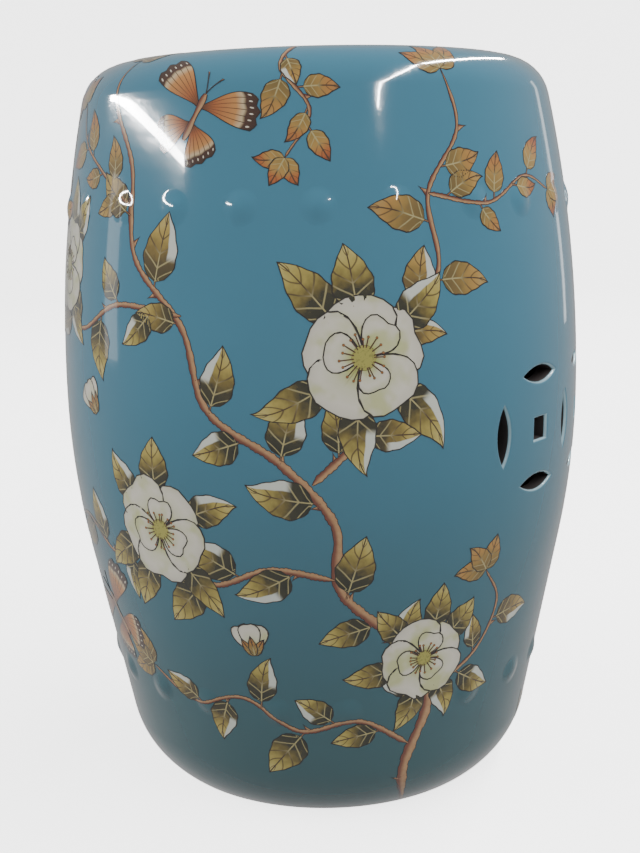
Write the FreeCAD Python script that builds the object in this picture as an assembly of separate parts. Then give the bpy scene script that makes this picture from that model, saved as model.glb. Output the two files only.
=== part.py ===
import FreeCAD, Part
import math
import os

# Ceramic garden stool. Millimetres and degrees, +Z up, origin in the middle of the
# footprint on the ground. Both pierced motifs are centred on the X axis.

# Outer outline, from the ground up
height = 448.0
foot_radius = 112.0
heel_arc_radius = 60.0
straight_flank_top = 152.0
lower_flank_arc_radius = 500.0
belly_radius = 165.0
belly_height = 246.0
upper_flank_arc_radius = 820.0
shoulder_arc_radius = 28.0

# Clay thicknesses. The inside of the wall is turned in straight tapers, because
# nobody sees it: (radius, height) where each taper meets the next
wall_tapers = [(129.0, 60.0), (142.5, 130.0), (153.5, 195.0), (153.5, 290.0), (147.5, 360.0)]
wall_top_radius = 134.0
seat_thickness = 9.0
floor_thickness = 9.0

# Seat joint: the disc drops into the shoulder and sits on a ledge
seat_ledge_width = 11.0
seat_ledge_thickness = 7.0

# Foot ring, floor and vent hole
foot_ring_height = 6.0
foot_ring_inner_radius = 97.0
foot_ring_chamfer = 1.5
floor_radius = 110.0
vent_radius = 30.0
vent_edge_chamfer = 1.5

# Pierced motif: two coins side by side that share their middle petal
coin_height = 234.5
coin_pitch_angle = 11.9
petal_length = 34.0
petal_width = 9.5
petal_offset_up = 32.0
coin_square = 13.0
pierced_edge_chamfer = 1.2

# Studs: low domes of clay pressed onto the wall, set by hand, so the ones at the
# front stand a degree or so off the even spacing
stud_diameter = 13.0
stud_rise = 2.4
upper_stud_count = 24
upper_stud_height = 364.9
upper_stud_start = -105.85
upper_stud_drift = [1.1, -0.4, -0.9, -0.9, -0.6, 1.7, 0.1]
lower_stud_count = 22
lower_stud_height = 76.6
lower_stud_start = -91.13
lower_stud_drift = [-1.1, 0.5, 0.8, -0.7, -0.2, 0.7]

# Sizes of the cutting tools. They only have to reach past what they cut
past_everything = 200.0
past_a_face = 1.0
motif_cutter_start = 130.0
motif_cutter_length = 60.0
outside_of_wall = belly_radius - 4.0

axis_point = FreeCAD.Vector(0, 0, 0)
axis_up = FreeCAD.Vector(0, 0, 1)


def outline_point(radius, z):
    """A point of the outline. The outline lies in the YZ plane."""
    return FreeCAD.Vector(0, radius, z)


def arc_point(centre, arc_radius, angle):
    radius = centre[0] + arc_radius * math.cos(angle)
    z = centre[1] + arc_radius * math.sin(angle)
    return radius, z


def arc_edge(centre, arc_radius, start, end):
    points = []
    for angle in (start, (start + end) / 2, end):
        points.append(outline_point(*arc_point(centre, arc_radius, angle)))
    return Part.Arc(*points).toShape()


def line_edge(start, end):
    return Part.makeLine(outline_point(*start), outline_point(*end))


def direction_angle(centre, point):
    return math.atan2(point[1] - centre[1], point[0] - centre[0])


# Centres of the outline's arcs

lower_centre = (belly_radius - lower_flank_arc_radius, belly_height)
upper_centre = (belly_radius - upper_flank_arc_radius, belly_height)
flank_lean = math.asin((belly_height - straight_flank_top) / lower_flank_arc_radius)


def find_shoulder_centre():
    """The shoulder arc is tangent to the upper flank and to the flat seat."""
    centre_z = height - shoulder_arc_radius
    reach = upper_flank_arc_radius - shoulder_arc_radius
    return upper_centre[0] + math.sqrt(reach ** 2 - (centre_z - belly_height) ** 2), centre_z


def find_heel_centre():
    """The heel arc is tangent to the straight flank and ends at the foot's corner."""
    flank_foot = arc_point(lower_centre, lower_flank_arc_radius, -flank_lean)
    start_x = flank_foot[0] - heel_arc_radius * math.cos(flank_lean)
    start_z = flank_foot[1] + heel_arc_radius * math.sin(flank_lean)
    down_x = -math.sin(flank_lean)
    down_z = -math.cos(flank_lean)
    gap_x = start_x - foot_radius
    half = gap_x * down_x + start_z * down_z
    rest = gap_x ** 2 + start_z ** 2 - heel_arc_radius ** 2
    travel = -half - math.sqrt(half ** 2 - rest)
    return start_x + travel * down_x, start_z + travel * down_z


shoulder_centre = find_shoulder_centre()
heel_centre = find_heel_centre()
shoulder_start = direction_angle(upper_centre, shoulder_centre)
heel_end = direction_angle(heel_centre, (foot_radius, 0.0))
seat_radius = shoulder_centre[0]
seat_bottom = height - seat_thickness
ledge_bottom = seat_bottom - seat_ledge_thickness
floor_top = foot_ring_height + floor_thickness


def revolved(edges):
    return Part.Face(Part.Wire(edges)).revolve(axis_point, axis_up, 360)


def make_outer():
    """The barrel's whole volume, from the ground to the seat."""
    heel_top = arc_point(heel_centre, heel_arc_radius, -flank_lean)
    flank_top = arc_point(lower_centre, lower_flank_arc_radius, -flank_lean)
    return revolved([
        line_edge((0.0, 0.0), (foot_radius, 0.0)),
        arc_edge(heel_centre, heel_arc_radius, heel_end, -flank_lean),
        line_edge(heel_top, flank_top),
        arc_edge(lower_centre, lower_flank_arc_radius, -flank_lean, 0.0),
        arc_edge(upper_centre, upper_flank_arc_radius, 0.0, shoulder_start),
        arc_edge(shoulder_centre, shoulder_arc_radius, shoulder_start, math.pi / 2),
        line_edge((seat_radius, height), (0.0, height)),
        line_edge((0.0, height), (0.0, 0.0)),
    ])


def make_hollow():
    """The air space inside the wall, between the floor and the seat's ledge."""
    corners = [(0.0, floor_top), (floor_radius, floor_top)]
    corners += wall_tapers
    corners += [(wall_top_radius, ledge_bottom), (0.0, ledge_bottom)]
    edges = [line_edge(start, end) for start, end in zip(corners, corners[1:])]
    edges.append(line_edge(corners[-1], corners[0]))
    return revolved(edges)


def disc(radius, bottom, top):
    return Part.makeCylinder(radius, top - bottom, FreeCAD.Vector(0, 0, bottom))


def petal_prism():
    """A pointed lens on end, that runs along X through the wall."""
    half_length = petal_length / 2
    half_width = petal_width / 2
    top = FreeCAD.Vector(0, 0, half_length)
    foot = FreeCAD.Vector(0, 0, -half_length)
    left = Part.Arc(top, FreeCAD.Vector(0, -half_width, 0), foot).toShape()
    right = Part.Arc(foot, FreeCAD.Vector(0, half_width, 0), top).toShape()
    return Part.Face(Part.Wire([left, right])).extrude(
        FreeCAD.Vector(motif_cutter_length, 0, 0))


def square_prism():
    half = coin_square / 2
    corner = FreeCAD.Vector(0, -half, -half)
    return Part.makeBox(motif_cutter_length, coin_square, coin_square, corner)


def placed(prism, angle, z):
    """Moves a prism out into the wall, at an angle about the stool's axis."""
    copy = prism.copy()
    copy.translate(FreeCAD.Vector(motif_cutter_start, 0, z))
    copy.rotate(axis_point, axis_up, angle)
    return copy


def coin_pair_cutters(facing):
    upright = petal_prism()
    lying = petal_prism()
    lying.rotate(axis_point, FreeCAD.Vector(1, 0, 0), 90)
    square = square_prism()
    cutters = []
    for step in (-2, 0, 2):
        cutters.append(placed(upright, facing + step * coin_pitch_angle, coin_height))
    for step in (-1, 1):
        angle = facing + step * coin_pitch_angle
        cutters.append(placed(square, angle, coin_height))
        cutters.append(placed(lying, angle, coin_height + petal_offset_up))
        cutters.append(placed(lying, angle, coin_height - petal_offset_up))
    return cutters


def is_pierced_rim(edge):
    """True for the edges where the piercings meet the outer surface."""
    if edge.Degenerated or edge.Length > 1.5 * petal_length:
        return False
    for vertex in edge.Vertexes:
        if math.hypot(vertex.X, vertex.Y) < outside_of_wall:
            return False
        if abs(vertex.Z - coin_height) > petal_offset_up + petal_length / 2:
            return False
    return True


def is_level_circle(edge, radius):
    if edge.Degenerated or not isinstance(edge.Curve, Part.Circle):
        return False
    return abs(edge.Curve.Radius - radius) < 0.01


def make_barrel_wall(outer):
    wall = outer.cut(make_hollow())
    wall = wall.cut(disc(past_everything, -past_a_face, foot_ring_height))
    wall = wall.cut(disc(floor_radius, 0.0, floor_top + past_a_face))
    wall = wall.cut(disc(seat_radius, seat_bottom, height + past_a_face))
    wall = wall.cut(disc(seat_radius - seat_ledge_width, ledge_bottom - past_a_face, height))
    wall = wall.cut(coin_pair_cutters(0.0) + coin_pair_cutters(180.0))
    rims = [edge for edge in wall.Edges if is_pierced_rim(edge)]
    print("rims of the piercings", len(rims))
    return wall.makeChamfer(pierced_edge_chamfer, rims)


def make_seat_disc(outer):
    return outer.common(disc(seat_radius, seat_bottom, height + past_a_face))


def make_base_floor():
    floor = disc(floor_radius, foot_ring_height, floor_top)
    floor = floor.cut(disc(vent_radius, 0.0, floor_top + past_a_face))
    rims = [edge for edge in floor.Edges if is_level_circle(edge, vent_radius)]
    return floor.makeChamfer(vent_edge_chamfer, rims)


def make_foot_ring(outer):
    ring = outer.common(disc(past_everything, 0.0, foot_ring_height))
    ring = ring.cut(disc(foot_ring_inner_radius, -past_a_face, foot_ring_height + past_a_face))
    rims = [edge for edge in ring.Edges if is_level_circle(edge, foot_ring_inner_radius)]
    lowest_rim = min(rims, key=lambda edge: edge.Curve.Center.z)
    return ring.makeChamfer(foot_ring_chamfer, [lowest_rim])


def wall_point_and_lean(z):
    """The outer surface's radius at z, and how far its normal leans up from level."""
    if z > belly_height:
        lean = math.asin((z - belly_height) / upper_flank_arc_radius)
        return arc_point(upper_centre, upper_flank_arc_radius, lean)[0], lean
    flank_top = arc_point(lower_centre, lower_flank_arc_radius, -flank_lean)
    radius = flank_top[0] - (flank_top[1] - z) * math.tan(flank_lean)
    return radius, -flank_lean


def touching_cone(z):
    """A cone that the wall touches all round at one height, to shape the studs' backs."""
    radius, lean = wall_point_and_lean(z)
    spread = math.tan(lean) * stud_diameter
    base = FreeCAD.Vector(0, 0, z - stud_diameter)
    return Part.makeCone(radius + spread, radius - spread, 2 * stud_diameter, base)


def make_stud(angle, z):
    """A cap of a ball, cut off where its back lies on the wall."""
    ball_radius = ((stud_diameter / 2) ** 2 + stud_rise ** 2) / (2 * stud_rise)
    wall_radius, lean = wall_point_and_lean(z)
    sunk = ball_radius - stud_rise
    centre = FreeCAD.Vector(wall_radius - sunk * math.cos(lean), 0, z - sunk * math.sin(lean))
    along_wall = FreeCAD.Vector(-math.sin(lean), 0, math.cos(lean))
    ball = Part.makeSphere(ball_radius, centre, along_wall)
    stud = ball.cut(touching_cone(z))
    stud.rotate(axis_point, axis_up, angle)
    return stud


def make_stud_row(count, z, start, drift):
    """The studs of a row, as two groups: those at the front of the barrel and the rest."""
    groups = {"front": [], "back": []}
    for index in range(count):
        angle = start + 360.0 / count * index
        if index < len(drift):
            angle += drift[index]
        side = "front" if math.sin(math.radians(angle)) < 0 else "back"
        groups[side].append(make_stud(angle, z))
    return groups


def build():
    outer = make_outer()
    nodes = {
        "barrel_wall": [make_barrel_wall(outer)],
        "seat_disc": [make_seat_disc(outer)],
        "base_floor": [make_base_floor()],
        "foot_ring": [make_foot_ring(outer)],
    }
    upper = make_stud_row(upper_stud_count, upper_stud_height, upper_stud_start, upper_stud_drift)
    lower = make_stud_row(lower_stud_count, lower_stud_height, lower_stud_start, lower_stud_drift)
    for side in ("front", "back"):
        nodes["upper_studs_" + side] = upper[side]
        nodes["lower_studs_" + side] = lower[side]
    return nodes


os.makedirs("parts", exist_ok=True)
for node, pieces in build().items():
    shape = Part.makeCompound(pieces)
    if len(shape.Solids) != len(pieces) or not shape.isValid():
        raise RuntimeError(node + " isn't made of the valid solids that it should be")
    if len(pieces) == 1:
        shape = shape.Solids[0]
    shape.exportStep("parts/" + node + ".step")
    print(node, len(pieces), "solids, volume %.1f cm3" % (shape.Volume / 1000))
print("seat radius %.2f" % seat_radius)
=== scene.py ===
# %% [markdown]
# A garden stool is a hollow ceramic barrel, about knee high. The clay is pressed or
# cast, studded with small buttons of clay, pierced on two sides, dressed with printed
# picture sheets and covered with a coloured glaze. The steps below go through it in
# turn: the outline, the glaze, the pierced wall, the studs, the foot, the picture and
# then the studio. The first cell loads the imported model, which the pieces have to fit.

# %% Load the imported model
import math
import random

import bmesh
import bpy
from mathutils import Matrix, Vector


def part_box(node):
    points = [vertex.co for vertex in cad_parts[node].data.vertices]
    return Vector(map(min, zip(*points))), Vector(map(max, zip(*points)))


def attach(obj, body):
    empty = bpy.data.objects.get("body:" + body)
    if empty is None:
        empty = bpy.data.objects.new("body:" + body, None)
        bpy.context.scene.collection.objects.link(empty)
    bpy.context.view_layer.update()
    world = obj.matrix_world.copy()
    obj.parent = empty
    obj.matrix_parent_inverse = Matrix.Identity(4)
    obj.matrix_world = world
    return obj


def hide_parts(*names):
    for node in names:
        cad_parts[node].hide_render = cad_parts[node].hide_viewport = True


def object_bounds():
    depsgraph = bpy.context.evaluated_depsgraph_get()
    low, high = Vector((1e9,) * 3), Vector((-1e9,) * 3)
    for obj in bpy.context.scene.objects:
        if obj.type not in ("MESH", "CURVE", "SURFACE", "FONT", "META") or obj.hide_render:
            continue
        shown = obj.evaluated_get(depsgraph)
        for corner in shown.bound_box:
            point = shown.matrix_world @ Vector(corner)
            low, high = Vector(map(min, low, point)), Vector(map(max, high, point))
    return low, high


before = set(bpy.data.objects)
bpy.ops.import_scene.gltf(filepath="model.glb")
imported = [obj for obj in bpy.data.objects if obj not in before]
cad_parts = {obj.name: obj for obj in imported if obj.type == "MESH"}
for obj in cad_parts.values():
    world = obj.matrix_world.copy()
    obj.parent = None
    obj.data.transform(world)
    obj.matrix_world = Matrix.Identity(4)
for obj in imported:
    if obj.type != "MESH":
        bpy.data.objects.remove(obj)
packed_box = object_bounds()
MM = 0.001
print("packed model from", packed_box[0][:], "to", packed_box[1][:])

# %% [markdown]
# The whole barrel is one outline, turned round an upright axis. The outline runs from
# the ground up: a round heel, a straight flank, a slow swell to the belly, a slower
# curve in again, a tight round shoulder and the flat seat. It could be a drawn curve,
# but arcs that meet in tangents are what a template for the wheel is made of, and
# they give an exact direction of the surface everywhere, which the gloss needs.

# %% The barrel's outline
HEIGHT = packed_box[1][2] - packed_box[0][2]
BELLY_RADIUS = 165.0 * MM
BELLY_HEIGHT = 246.0 * MM
FOOT_RADIUS = 112.0 * MM
HEEL_ARC = 60.0 * MM
FLANK_TOP = 152.0 * MM
LOWER_ARC = 500.0 * MM
UPPER_ARC = 820.0 * MM
SHOULDER_ARC = 28.0 * MM
HALVINGS = 40
FOOT_RING_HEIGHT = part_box("foot_ring")[1][2]

flank_lean = math.asin((BELLY_HEIGHT - FLANK_TOP) / LOWER_ARC)
lower_centre = Vector((BELLY_RADIUS - LOWER_ARC, BELLY_HEIGHT))
upper_centre = Vector((BELLY_RADIUS - UPPER_ARC, BELLY_HEIGHT))


def on_arc(centre, radius, tilt):
    return centre + radius * Vector((math.cos(tilt), math.sin(tilt)))


def heel_arc_centre():
    """The heel arc touches the straight flank and ends at the foot's corner."""
    flank_top = on_arc(lower_centre, LOWER_ARC, -flank_lean)
    start = on_arc(flank_top, -HEEL_ARC, -flank_lean)
    down = Vector((-math.sin(flank_lean), -math.cos(flank_lean)))
    to_corner = start - Vector((FOOT_RADIUS, 0.0))
    half = to_corner.dot(down)
    travel = -half - math.sqrt(half ** 2 - to_corner.length_squared + HEEL_ARC ** 2)
    return start + travel * down


heel_centre = heel_arc_centre()
shoulder_z = HEIGHT - SHOULDER_ARC
shoulder_tilt = math.asin((shoulder_z - BELLY_HEIGHT) / (UPPER_ARC - SHOULDER_ARC))
shoulder_centre = on_arc(upper_centre, UPPER_ARC - SHOULDER_ARC, shoulder_tilt)
heel_tilt = math.atan2(-heel_centre.y, FOOT_RADIUS - heel_centre.x)
stretches = []


def add_arc(centre, radius, first_tilt, last_tilt):
    def place(distance):
        tilt = first_tilt + distance / radius
        return on_arc(centre, radius, tilt), tilt
    stretches.append((radius * (last_tilt - first_tilt), place))


def add_line(start, end, tilt):
    def place(distance):
        return start + (end - start).normalized() * distance, tilt
    stretches.append(((end - start).length, place))


add_arc(heel_centre, HEEL_ARC, heel_tilt, -flank_lean)
add_line(on_arc(heel_centre, HEEL_ARC, -flank_lean),
         on_arc(lower_centre, LOWER_ARC, -flank_lean), -flank_lean)
add_arc(lower_centre, LOWER_ARC, -flank_lean, 0.0)
add_arc(upper_centre, UPPER_ARC, 0.0, shoulder_tilt)
add_arc(shoulder_centre, SHOULDER_ARC, shoulder_tilt, math.pi / 2)
shoulder_end = sum(stretch[0] for stretch in stretches)
add_line(Vector((shoulder_centre.x, HEIGHT)), Vector((0.0, HEIGHT)), math.pi / 2)


def outline(distance):
    """(radius, height) and the tilt of the surface, a distance along from the ground."""
    for length, place in stretches:
        if distance <= length:
            return place(distance)
        distance -= length
    return place(length)


def distance_at(z):
    """How far along the outline a height lies, found by halving."""
    low = 0.0
    high = shoulder_end
    for step in range(HALVINGS):
        middle = (low + high) / 2
        if outline(middle)[0].y < z:
            low = middle
        else:
            high = middle
    return low


def on_barrel(angle, distance, lift=0.0):
    """A point of the glaze, or a lift above it, at an angle round the barrel."""
    point, tilt = outline(distance)
    radius = point.x + lift * math.cos(tilt)
    height = point.y + lift * math.sin(tilt)
    return Vector((radius * math.cos(angle), radius * math.sin(angle), height))


print("outline %.0f mm long up to the seat, which starts at radius %.1f mm"
      % (shoulder_end / MM, shoulder_centre.x / MM))

# %% [markdown]
# Every mesh here is made in a bmesh and then turned into an object, smooth shaded and
# with its materials. A piece of the stool also rides on its one body and hides the
# imported nodes it stands for. Two more helpers do what comes back often: one picks the
# vertices, edges or faces out of what an operator returns, and one turns a profile once
# round the upright axis, as on a wheel.

# %% Helpers for meshes and pieces


def pick(kind, items):
    return [item for item in items if isinstance(item, kind)]


def spin_profile(shape, points, sides, closed=False):
    """Turns a line of (radius, height) points once round the upright axis."""
    chain = [shape.verts.new((radius, 0, height)) for radius, height in points]
    following = chain[1:] + chain[:1] if closed else chain[1:]
    links = [shape.edges.new(pair) for pair in zip(chain, following)]
    bmesh.ops.spin(shape, geom=chain + links, cent=(0, 0, 0), axis=(0, 0, 1),
                   dvec=(0, 0, 0), angle=2 * math.pi, steps=sides, use_merge=True,
                   use_normal_flip=False, use_duplicate=False)


def add_object(name, data):
    thing = bpy.data.objects.new(name, data)
    bpy.context.scene.collection.objects.link(thing)
    return thing


def add_shape(name, shape, paints):
    """Turns a bmesh into a smooth shaded object with its materials."""
    for face in shape.faces:
        face.smooth = True
    mesh = bpy.data.meshes.new(name)
    shape.to_mesh(mesh)
    shape.free()
    for paint in paints:
        mesh.materials.append(paint)
    return add_object(name, mesh)


def make_piece(name, shape, paints, replaced=()):
    piece = add_shape(name, shape, paints)
    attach(piece, "root")
    if replaced:
        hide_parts(*replaced)
    print(name, len(piece.data.polygons), "faces")
    return piece


print("helpers are ready")


# %% [markdown]
# Paint, clay and glaze are all recipes for Blender's shader nodes. A recipe reads
# numbers from the mesh or from the object's own coordinates, works with them and ends
# in the colour, roughness or bump of one Principled shader. This small class keeps each
# recipe short enough to read: one call adds a node or two and returns what comes out.
# A Mix node keeps its two colours behind its sockets for numbers and for vectors.

# %% A helper that writes material recipes
COAT_ROUGHNESS = 0.02
FIRST_COLOUR = 6
SECOND_COLOUR = 7
MIXED_COLOUR = 2


class Recipe:
    def __init__(self, name, roughness, coat=0.0):
        self.material = bpy.data.materials.new(name)
        self.material.use_nodes = True
        self.nodes = self.material.node_tree.nodes
        self.links = self.material.node_tree.links
        self.shader = self.nodes["Principled BSDF"]
        self.shader.inputs["Roughness"].default_value = roughness
        self.shader.inputs["Coat Weight"].default_value = coat
        self.shader.inputs["Coat Roughness"].default_value = COAT_ROUGHNESS

    def feed(self, socket, value):
        if isinstance(value, bpy.types.NodeSocket):
            self.links.new(value, socket)
        else:
            socket.default_value = value

    def number(self, attribute):
        node = self.nodes.new("ShaderNodeAttribute")
        node.attribute_name = attribute
        return node.outputs["Fac"]

    def place(self):
        return self.nodes.new("ShaderNodeTexCoord").outputs["Object"]

    def height(self):
        split = self.nodes.new("ShaderNodeSeparateXYZ")
        self.feed(split.inputs[0], self.place())
        return split.outputs["Z"]

    def calc(self, operation, first, second=0.0):
        node = self.nodes.new("ShaderNodeMath")
        node.operation = operation
        self.feed(node.inputs[0], first)
        self.feed(node.inputs[1], second)
        return node.outputs[0]

    def times(self, first, second):
        return self.calc("MULTIPLY", first, second)

    def zigzag(self, value):
        """0 wherever a value is whole, and 0.5 half way between."""
        return self.calc("PINGPONG", value, 0.5)

    def step(self, value, low, high):
        """0 before low, 1 past high and smooth between. High may be the smaller one."""
        node = self.nodes.new("ShaderNodeMapRange")
        node.interpolation_type = "SMOOTHSTEP"
        self.feed(node.inputs["Value"], value)
        node.inputs["From Min"].default_value = low
        node.inputs["From Max"].default_value = high
        return node.outputs[0]

    def noise(self, size, detail=2.0, stretch=(1.0, 1.0, 1.0)):
        """Soft random patches of about a given size, from 0 to 1."""
        mapping = self.nodes.new("ShaderNodeMapping")
        mapping.inputs["Scale"].default_value = stretch
        self.feed(mapping.inputs["Vector"], self.place())
        node = self.nodes.new("ShaderNodeTexNoise")
        node.inputs["Scale"].default_value = 1.0 / size
        node.inputs["Detail"].default_value = detail
        self.feed(node.inputs["Vector"], mapping.outputs[0])
        return node.outputs["Fac"]

    def ramp(self, value, stops):
        node = self.nodes.new("ShaderNodeValToRGB")
        while len(node.color_ramp.elements) < len(stops):
            node.color_ramp.elements.new(0.5)
        for element, (position, colour) in zip(node.color_ramp.elements, stops):
            element.position = position
            element.color = (*colour, 1.0)
        self.feed(node.inputs["Fac"], value)
        return node.outputs["Color"]

    def blend(self, amount, first, second):
        node = self.nodes.new("ShaderNodeMix")
        node.data_type = "RGBA"
        self.feed(node.inputs[0], amount)
        for socket, colour in ((FIRST_COLOUR, first), (SECOND_COLOUR, second)):
            if isinstance(colour, tuple):
                colour = (*colour, 1.0)
            self.feed(node.inputs[socket], colour)
        return node.outputs[MIXED_COLOUR]

    def bump(self, value, depth, below=None):
        node = self.nodes.new("ShaderNodeBump")
        node.inputs["Distance"].default_value = depth
        self.feed(node.inputs["Height"], value)
        if below is not None:
            self.feed(node.inputs["Normal"], below)
        return node.outputs["Normal"]

    def done(self, colour, normal=None):
        self.feed(self.shader.inputs["Base Color"], colour)
        if normal is not None:
            self.feed(self.shader.inputs["Normal"], normal)
        print("finish", self.material.name, "with", len(self.nodes), "nodes")
        return self.material


# %% [markdown]
# The glaze is a teal blue, glossy as glass, with a little random drift in its tone. Its
# colour is painted darker and greener towards the foot, as painted shade where less light
# reaches the lower wall. Its surface waves very slightly, which is what breaks up the
# reflections of lamps. Where the clay has a sharp edge the glaze pulls thin and pale, and
# that rim is painted paler still, as a painted highlight on the lips. The wall's mesh
# marks where that is with a number of its own.

# %% The glaze
GLOSS = 0.10
TEAL = (0.036, 0.152, 0.228)
BRIGHTER_TEAL = (0.044, 0.170, 0.250)
# painted shade: the colour the glaze is painted low on the wall
SHADED_TEAL_AT_THE_FOOT = (0.026, 0.076, 0.086)
# the lips' pale rim: glaze pulled thin, and partly a painted highlight
THIN_TEAL_AND_SHEEN = (0.42, 0.60, 0.66)
DARKENS_BELOW = 330 * MM
DRIFT_SIZE = 90 * MM
WAVE_SIZE = 60 * MM
WAVE_DEPTH = 0.9 * MM
SKIN_SIZE = 8 * MM
SKIN_DEPTH = 0.06 * MM


def make_glaze():
    recipe = Recipe("teal_glaze", GLOSS, coat=1.0)
    glaze_colour = recipe.blend(recipe.noise(DRIFT_SIZE, 1.0), TEAL, BRIGHTER_TEAL)
    # painted shade: darker and greener towards the foot
    low = recipe.step(recipe.height(), DARKENS_BELOW, 0.0)
    glaze_colour = recipe.blend(low, glaze_colour, SHADED_TEAL_AT_THE_FOOT)
    # the lips' pale rim, partly thin glaze and partly a painted highlight
    thin_glaze_and_sheen = recipe.step(recipe.number("thin_glaze_and_sheen"), 0.25, 1.0)
    colour = recipe.blend(recipe.times(thin_glaze_and_sheen, 0.8), glaze_colour, THIN_TEAL_AND_SHEEN)
    waves = recipe.bump(recipe.noise(WAVE_SIZE, 1.0), WAVE_DEPTH)
    skin = recipe.bump(recipe.noise(SKIN_SIZE), SKIN_DEPTH, waves)
    return recipe.done(colour, skin)


glaze = make_glaze()

# %% [markdown]
# Two places have no glaze. The underside of the foot is bare clay, a warm cream with
# darker specks and a fine grain. The inside and the holes' tunnels are painted nearly
# black, as painted shade, with faint upright streaks in its tone.

# %% Bare clay and the painted shade inside
CLAY = (0.56, 0.47, 0.37)
PALER_CLAY = (0.68, 0.60, 0.50)
CLAY_SPECK = (0.30, 0.22, 0.15)
# painted shade for the inside and the tunnels, nearly black
INSIDE_SHADE = (0.022, 0.018, 0.018)
PALER_INSIDE_SHADE = (0.050, 0.040, 0.038)


def make_bare_clay():
    recipe = Recipe("unglazed_clay", 0.85)
    body = recipe.blend(recipe.noise(6 * MM, 4.0), CLAY, PALER_CLAY)
    specks = recipe.step(recipe.noise(1.3 * MM), 0.66, 0.72)
    grain = recipe.bump(recipe.noise(0.8 * MM, 3.0), 0.15 * MM)
    return recipe.done(recipe.blend(specks, body, CLAY_SPECK), grain)


def make_inside_shade():
    recipe = Recipe("painted_shade_inside", 0.7)
    streaks = recipe.noise(12 * MM, 3.0, (1.0, 1.0, 0.3))
    grain = recipe.bump(recipe.noise(0.9 * MM, 3.0), 0.12 * MM)
    return recipe.done(recipe.blend(streaks, INSIDE_SHADE, PALER_INSIDE_SHADE), grain)


bare_clay = make_bare_clay()
inside_shade_paint = make_inside_shade()

# %% [markdown]
# The wall is made the way a potter could make it: as a flat slab, which is pierced
# while it lies on the bench and then rolled up into the barrel. The slab is a grid for
# half the barrel with the pierced motif in its middle. Holes cut with a boolean would
# leave ragged lips in the gloss, so the grid gets an open window instead, the outlines
# of the holes are spun from arcs inside it, and the clay between is filled in.

# %% Sizes of the pierced motif
COIN_HEIGHT = 234.5 * MM
COIN_PITCH = math.radians(11.9) * BELLY_RADIUS
PETAL_LENGTH = 34.0 * MM
PETAL_WIDTH = 9.5 * MM
PETAL_OFFSET = 32.0 * MM
COIN_SQUARE = 13.0 * MM
LIP = 1.7 * MM
LIP_STEPS = 5
ARC_STEPS = 14
SQUARE_CUTS = 3
SLAB = 10.0 * MM
SLAB_COLUMNS = 96
SLAB_ROWS = 112
HALF_WINDOW_WIDTH = 2 * COIN_PITCH + PETAL_WIDTH + LIP + 6 * MM
HALF_WINDOW_HEIGHT = PETAL_OFFSET + PETAL_WIDTH + LIP + 4 * MM
foot_edge = distance_at(FOOT_RING_HEIGHT)
coin_distance = distance_at(COIN_HEIGHT)
print("motif centre %.1f mm along the outline" % (coin_distance / MM))

# %% [markdown]
# The slab has a front, which is glazed, and a back, the inner face of the wall. Both
# are the same flat grid, one 10 mm behind the other, with a rectangle of faces deleted
# where the motif goes. The rim of each window is kept, to fill up to later.

# %% The flat slab, with a window for the motif


def lay_sheet(slab, depth):
    """One face of the slab: a flat grid at a depth in the clay."""
    width = math.pi * BELLY_RADIUS
    height = shoulder_end - foot_edge
    place = Matrix.Translation((0.0, foot_edge + height / 2, -depth))
    stretch = Matrix.Diagonal((width, height, 1.0, 1.0))
    grid = bmesh.ops.create_grid(slab, x_segments=SLAB_COLUMNS, y_segments=SLAB_ROWS,
                                 size=0.5, matrix=place @ stretch)
    inside = []
    for face in {face for vert in grid["verts"] for face in vert.link_faces}:
        middle = face.calc_center_median()
        beside = abs(middle.x) < HALF_WINDOW_WIDTH
        if beside and abs(middle.y - coin_distance) < HALF_WINDOW_HEIGHT:
            inside.append(face)
    bmesh.ops.delete(slab, geom=inside, context="FACES")
    rim = []
    for edge in {edge for vert in grid["verts"] if vert.is_valid for edge in vert.link_edges}:
        middle = (edge.verts[0].co + edge.verts[1].co) / 2
        if edge.is_boundary and abs(middle.x) < 2 * HALF_WINDOW_WIDTH:
            if abs(middle.y - coin_distance) < 2 * HALF_WINDOW_HEIGHT:
                rim.append(edge)
    return rim


slab = bmesh.new()
# marks the lips, whose pale rim is partly thin glaze and partly a painted highlight
thin_glaze_and_sheen = slab.verts.layers.float.new("thin_glaze_and_sheen")
front_window = lay_sheet(slab, 0.0)
back_window = lay_sheet(slab, SLAB)
print("window rims of", len(front_window), "and", len(back_window), "edges")

# %% [markdown]
# A petal is the lens between two equal arcs. Its outline is drawn larger than the hole
# by the width of the rounded lip, by spinning a point about one arc's centre and then
# about the other's. Insets that go down as they go in then make the lip's rounding.

# %% Outlines of the holes


def spin_point(slab, start, centre, angle):
    spun = bmesh.ops.spin(slab, geom=[start], cent=centre, axis=(0, 0, 1), dvec=(0, 0, 0),
                          angle=angle, steps=ARC_STEPS, use_merge=False,
                          use_normal_flip=False, use_duplicate=False)
    return pick(bmesh.types.BMVert, spun["geom_last"])[0]


def petal_outline(slab, middle, lying):
    half_length = PETAL_LENGTH / 2
    half_width = PETAL_WIDTH / 2
    arc = (half_length ** 2 + half_width ** 2) / (2 * half_width)
    away = arc - half_width
    outer = arc + LIP
    tip = math.sqrt(outer ** 2 - away ** 2)
    sweep = 2 * math.asin(tip / outer)
    along = Vector((1, 0, 0)) if lying else Vector((0, 1, 0))
    aside = Vector((0, 0, 1)).cross(along)
    first = slab.verts.new(middle + along * tip)
    before = set(slab.edges)
    second = spin_point(slab, first, middle - aside * away, sweep)
    last = spin_point(slab, second, middle + aside * away, sweep)
    bmesh.ops.pointmerge(slab, verts=[first, last], merge_co=middle + along * tip)
    return [edge for edge in slab.edges if edge not in before]


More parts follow.
